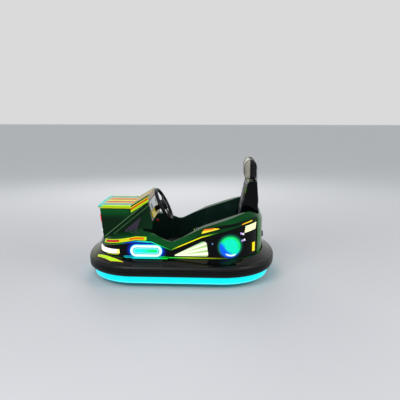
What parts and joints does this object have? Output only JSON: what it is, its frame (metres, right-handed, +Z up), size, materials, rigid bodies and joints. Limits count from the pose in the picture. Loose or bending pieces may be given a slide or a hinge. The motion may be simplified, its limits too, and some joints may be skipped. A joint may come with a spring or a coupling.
{
  "type": "battery bumper car",
  "caption": "Single-seat battery bumper car: rubber bumper ring, glowing skirt, moulded body with side lamps, nose box, high seat, steered drive wheel.",
  "frame": {"origin": "on the floor under the middle of the bumper ring", "axes": "+X to the nose, +Y to the rider's left, +Z up"},
  "size_m": [1.5, 1.06, 0.921],
  "materials": {
    "bumper_rubber": "black rubber",
    "band_steel": "black paint",
    "skirt_glow": "translucent, lit from inside",
    "frame_paint": "black paint",
    "pan_plate": "dark paint, ribbed mat",
    "body_green": "gloss gel coat",
    "nose_green": "gloss gel coat",
    "lid_green": "gloss with stripes",
    "panel_black": "black gloss",
    "tub_black": "dark grained",
    "grille_black": "black gloss",
    "capsule_light": "lit",
    "disc_light": "lit",
    "disc_ring": "lit edge",
    "fan_light": "lit, ribbed",
    "head_light": "lit",
    "tail_light": "lit, slatted",
    "marker_light": "lit",
    "nose_light": "lit",
    "dash_face": "printed face",
    "switch_metal": "bright",
    "column_black": "black",
    "wheel_black": "black grip",
    "seat_shell": "black shell",
    "seat_cover": "black vinyl with lime piping",
    "headrest_cover": "black vinyl, pale front",
    "pedal_metal": "ribbed",
    "fork_steel": "machined",
    "tyre": "solid tyre",
    "hub_metal": "cast",
    "battery_case": "plain case",
    "socket_black": "black"
  },
  "bodies": {
    "root": {"battery_pack": "battery_case", "battery_tray": "frame_paint", "bumper": "bumper_rubber", "bumper_band": "band_steel", "capsule_lamps": "capsule_light", "charge_socket": "socket_black", "cheek_grilles": "grille_black", "cockpit_tub": "tub_black", "cross_member_footwell": "frame_paint", "cross_member_front": "frame_paint", "cross_member_rear": "frame_paint", "cross_member_seat": "frame_paint", "dash_panel": "dash_face", "dash_switches": "switch_metal", "disc_lamps": "disc_light", "disc_rings": "disc_ring", "fan_lamps": "fan_light", "floor_pan": "pan_plate", "frame_rail_left": "frame_paint", "frame_rail_right": "frame_paint", "front_body": "body_green", "glow_skirt": "skirt_glow", "headlamps": "head_light", "headrest": "headrest_cover", "headrest_straps": "switch_metal", "lamp_panel_left": "panel_black", "lamp_panel_right": "panel_black", "marker_lamps": "marker_light", "nose_cowl": "lid_green", "nose_lamps": "nose_light", "nose_lid": "lid_green", "nose_shell": "nose_green", "pedal": "pedal_metal", "rear_axle": "fork_steel", "rear_body": "body_green", "seat_back_pad": "seat_cover", "seat_cushion": "seat_cover", "seat_riser": "tub_black", "seat_shell": "seat_shell", "steer_bridge": "frame_paint", "steering_column": "column_black", "tail_lamps": "tail_light"},
    "steering_wheel": {"steering_wheel": "wheel_black"},
    "drive_unit": {"drive_fork": "fork_steel"},
    "drive_wheel": {"drive_tyre": "tyre", "drive_hub": "hub_metal"},
    "rear_wheel_left": {"rear_tyre_left": "tyre", "rear_rim_left": "hub_metal"},
    "rear_wheel_right": {"rear_tyre_right": "tyre", "rear_rim_right": "hub_metal"}
  },
  "joints": [
    {"name": "drive_swivel", "type": "hinge", "parent": "root", "child": "drive_unit", "pos_m": [0.42, 0, 0.25], "axis": [0, 0, 1], "continuous": true},
    {"name": "drive_spin", "type": "hinge", "parent": "drive_unit", "child": "drive_wheel", "pos_m": [0.42, 0, 0.1], "axis": [0, 1, 0], "continuous": true},
    {"name": "steering_turn", "type": "hinge", "parent": "root", "child": "steering_wheel", "pos_m": [0.148, 0, 0.536], "axis": [-0.891, 0, 0.454], "continuous": true},
    {"name": "rear_left_spin", "type": "hinge", "parent": "root", "child": "rear_wheel_left", "pos_m": [-0.42, 0.35, 0.08], "axis": [0, 1, 0], "continuous": true},
    {"name": "rear_right_spin", "type": "hinge", "parent": "root", "child": "rear_wheel_right", "pos_m": [-0.42, -0.35, 0.08], "axis": [0, 1, 0], "continuous": true}
  ],
  "couplings": [
    {"joint": "steering_turn", "follows": "drive_swivel", "ratio": 2}
  ]
}
